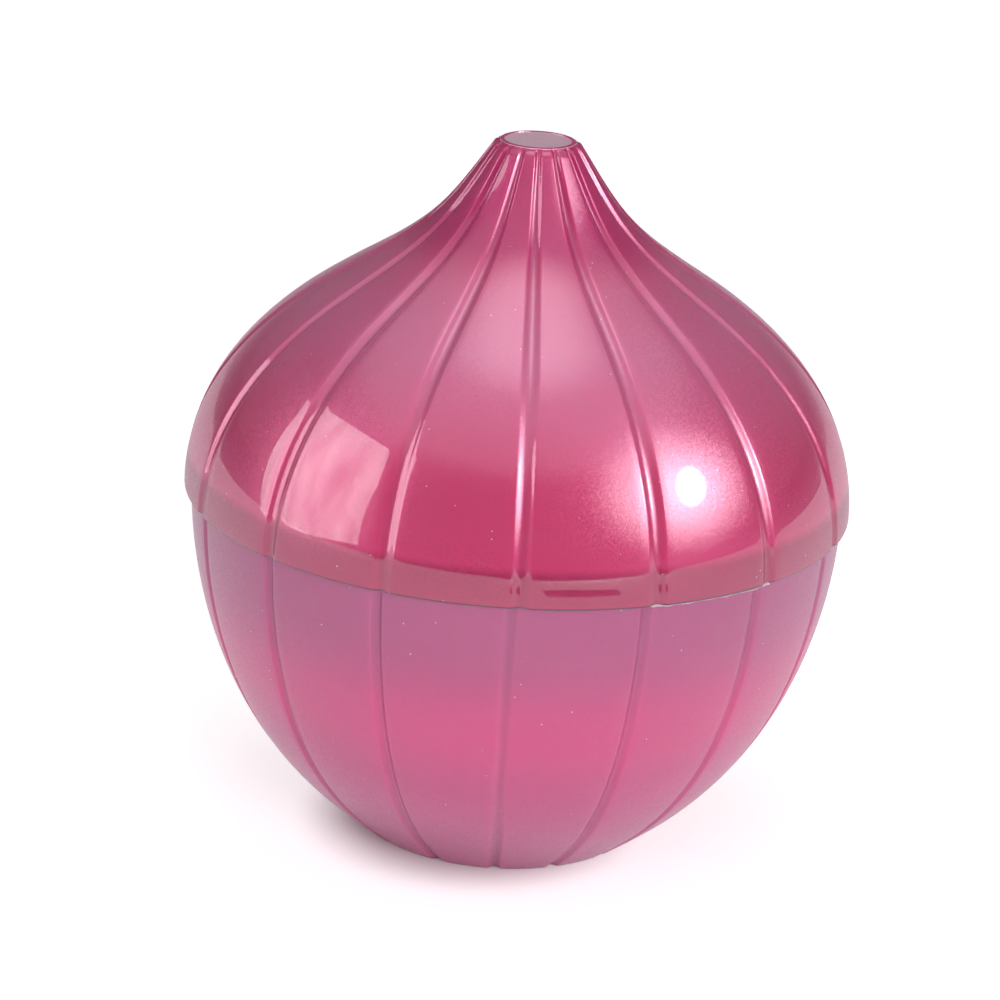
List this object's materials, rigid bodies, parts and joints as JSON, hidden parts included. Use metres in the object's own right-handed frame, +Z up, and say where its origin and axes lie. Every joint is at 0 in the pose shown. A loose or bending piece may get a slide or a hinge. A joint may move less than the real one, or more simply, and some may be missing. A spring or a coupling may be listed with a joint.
{
  "type": "onion keeper",
  "caption": "Lidded round food keeper shaped like an onion: a fluted bowl with a flat foot and a domed, fluted lid that lifts off, to store a cut onion.",
  "frame": {"origin": "centre of the bowl's flat foot, on the table", "axes": "+Z up along the keeper's axis, through the middle of the foot and the tip; -Y towards the viewer of the picture"},
  "size_m": [0.11, 0.11, 0.1174],
  "materials": {
    "plum_plastic": "glossy translucent moulded plastic with a faint pearl sparkle"
  },
  "bodies": {
    "bowl": {"bowl": "plum_plastic"},
    "lid": {"lid": "plum_plastic"}
  },
  "joints": [
    {"name": "lid_lift", "type": "slide", "parent": "bowl", "child": "lid", "axis": [0, 0, 1], "range_m": [0, 0.1]}
  ]
}
